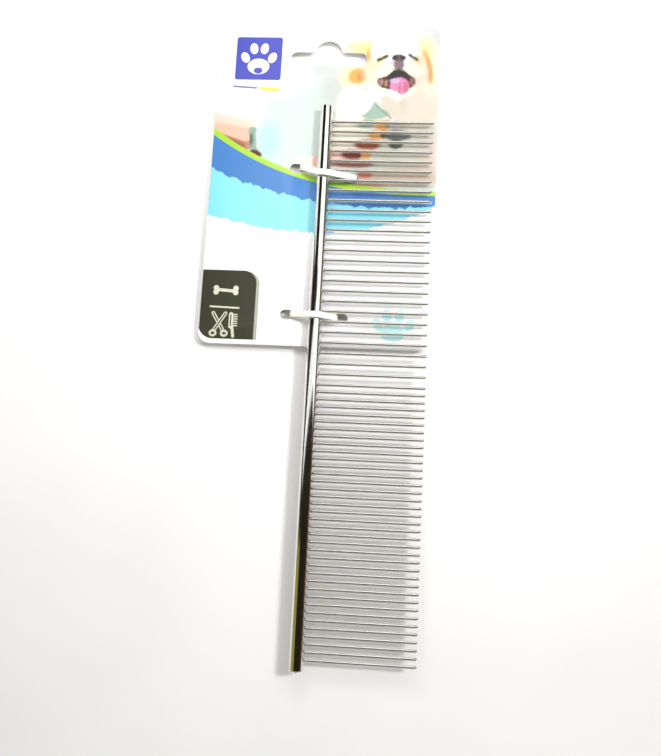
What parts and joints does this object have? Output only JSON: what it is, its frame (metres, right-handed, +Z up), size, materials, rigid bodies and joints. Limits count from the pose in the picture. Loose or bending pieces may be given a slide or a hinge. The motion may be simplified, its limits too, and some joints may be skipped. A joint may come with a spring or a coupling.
{
  "type": "pet grooming comb on a hang card",
  "caption": "Steel two-spacing pin comb for pet grooming, tied by two nylon ties to the printed card it hangs on in a shop.",
  "frame": {"origin": "bottom centre of the whole object's box, with the ties' heads on the surface", "axes": "+Z up out of the card's front, +Y towards the hang slot, +X from the spine towards the pin tips"},
  "size_m": [0.079, 0.2234, 0.0091],
  "materials": {
    "spine": "bright chrome plating",
    "plug": "chrome plating",
    "pin": "bright chrome plating",
    "card": "coated board, printed in colour on the front",
    "tie": "natural white nylon"
  },
  "bodies": {
    "card": {"hang_card": "card", "tie_upper": "tie", "tie_lower": "tie"},
    "comb": {"spine_tube": "spine", "end_plug_upper": "plug", "end_plug_lower": "plug", "coarse_pin_01": "pin", "coarse_pin_02": "pin", "coarse_pin_03": "pin", "coarse_pin_04": "pin", "coarse_pin_05": "pin", "coarse_pin_06": "pin", "coarse_pin_07": "pin", "coarse_pin_08": "pin", "coarse_pin_09": "pin", "coarse_pin_10": "pin", "coarse_pin_11": "pin", "coarse_pin_12": "pin", "coarse_pin_13": "pin", "coarse_pin_14": "pin", "coarse_pin_15": "pin", "coarse_pin_16": "pin", "coarse_pin_17": "pin", "coarse_pin_18": "pin", "coarse_pin_19": "pin", "coarse_pin_20": "pin", "coarse_pin_21": "pin", "coarse_pin_22": "pin", "coarse_pin_23": "pin", "coarse_pin_24": "pin", "coarse_pin_25": "pin", "coarse_pin_26": "pin", "coarse_pin_27": "pin", "fine_pin_pair_01": "pin", "fine_pin_pair_02": "pin", "fine_pin_pair_03": "pin", "fine_pin_pair_04": "pin", "fine_pin_pair_05": "pin", "fine_pin_pair_06": "pin", "fine_pin_pair_07": "pin", "fine_pin_pair_08": "pin", "fine_pin_pair_09": "pin", "fine_pin_pair_10": "pin", "fine_pin_pair_11": "pin", "fine_pin_pair_12": "pin", "fine_pin_pair_13": "pin", "fine_pin_pair_14": "pin", "fine_pin_pair_15": "pin", "fine_pin_pair_16": "pin", "fine_pin_pair_17": "pin", "fine_pin_pair_18": "pin"}
  },
  "joints": [
    {"name": "comb_swing", "type": "hinge", "parent": "card", "child": "comb", "pos_m": [0.0005, 0, 0.00577], "axis": [0, -1, 0], "range_deg": [0, 120]}
  ]
}
